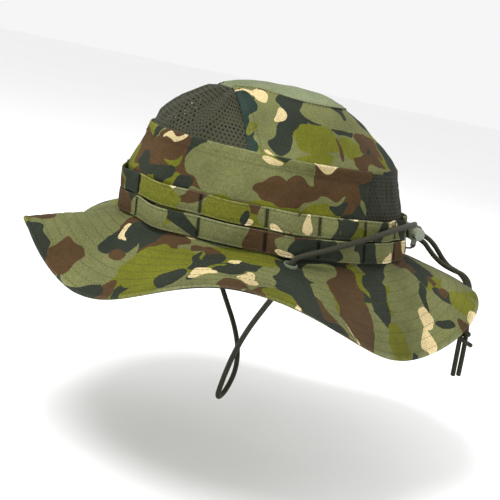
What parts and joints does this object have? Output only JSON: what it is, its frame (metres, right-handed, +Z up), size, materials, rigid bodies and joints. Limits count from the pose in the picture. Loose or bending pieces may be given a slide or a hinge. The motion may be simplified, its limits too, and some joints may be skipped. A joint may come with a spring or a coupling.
{
  "type": "boonie hat",
  "caption": "Wide-brimmed camouflage cloth sun hat with mesh crown panels, a sewn loop band, and a braided chin cord with a spring cord lock.",
  "frame": {"origin": "middle of the head opening, in the plane of the crown's bottom edge", "axes": "+Z up through the crown, -Y towards the wearer's face, +X towards the wearer's left"},
  "size_m": [0.2954, 0.3547, 0.2342],
  "materials": {
    "camouflage_cloth": "woven ripstop cotton and nylon, printed in green, brown and tan blotches",
    "mesh_cloth": "knitted polyester mesh with round holes",
    "pale_cloth": "plain woven sage green cloth",
    "lining_cloth": "soft olive twill",
    "label_cloth": "blank satin tape",
    "interlining": "stiff unbleached interlining",
    "thread": "spun polyester sewing thread",
    "cord": "braided nylon sheath, olive drab",
    "lock_plastic": "moulded acetal, foliage green",
    "elastic": "thin black elastic cord",
    "spring_steel": "bright spring wire"
  },
  "bodies": {
    "hat": {"front_wall": "camouflage_cloth", "rear_mesh": "mesh_cloth", "front_mesh": "mesh_cloth", "left_upper_panel": "camouflage_cloth", "right_upper_panel": "camouflage_cloth", "top_panel": "pale_cloth", "sweatband": "lining_cloth", "care_label": "label_cloth", "shoulder_seam_tape": "lining_cloth", "top_seam_tape": "lining_cloth", "head_seam_tape": "lining_cloth", "brim_upper": "camouflage_cloth", "brim_interlining": "interlining", "brim_lower": "camouflage_cloth", "left_eyelet": "thread", "right_eyelet": "thread", "lower_loop_strip": "camouflage_cloth", "upper_loop_strip": "camouflage_cloth", "strip_bar_tacks": "thread", "left_strand": "cord", "right_strand": "cord", "tail_knot": "cord", "lock_tether": "elastic"},
    "cord_lock": {"lock_body": "lock_plastic", "lock_spring": "spring_steel"},
    "lock_button": {"lock_plunger": "lock_plastic"},
    "chin_cord": {"chin_loop": "cord"}
  },
  "joints": [
    {"name": "cord_lock_slide", "type": "slide", "parent": "hat", "child": "cord_lock", "axis": [-0.1331, 0.947, -0.2924], "range_m": [0, 0.004], "deforming": ["lock_tether"]},
    {"name": "lock_button_press", "type": "slide", "parent": "cord_lock", "child": "lock_button", "axis": [0.9903, 0.1392, 0], "range_m": [-0.0035, 0], "stiffness_N_per_m": 400, "springref_m": 0.002, "deforming": ["lock_spring"]},
    {"name": "chin_loop_swing", "type": "hinge", "parent": "hat", "child": "chin_cord", "pos_m": [0, -0.01546, -0.00873], "axis": [1, 0, 0], "range_deg": [-35, 35]}
  ]
}
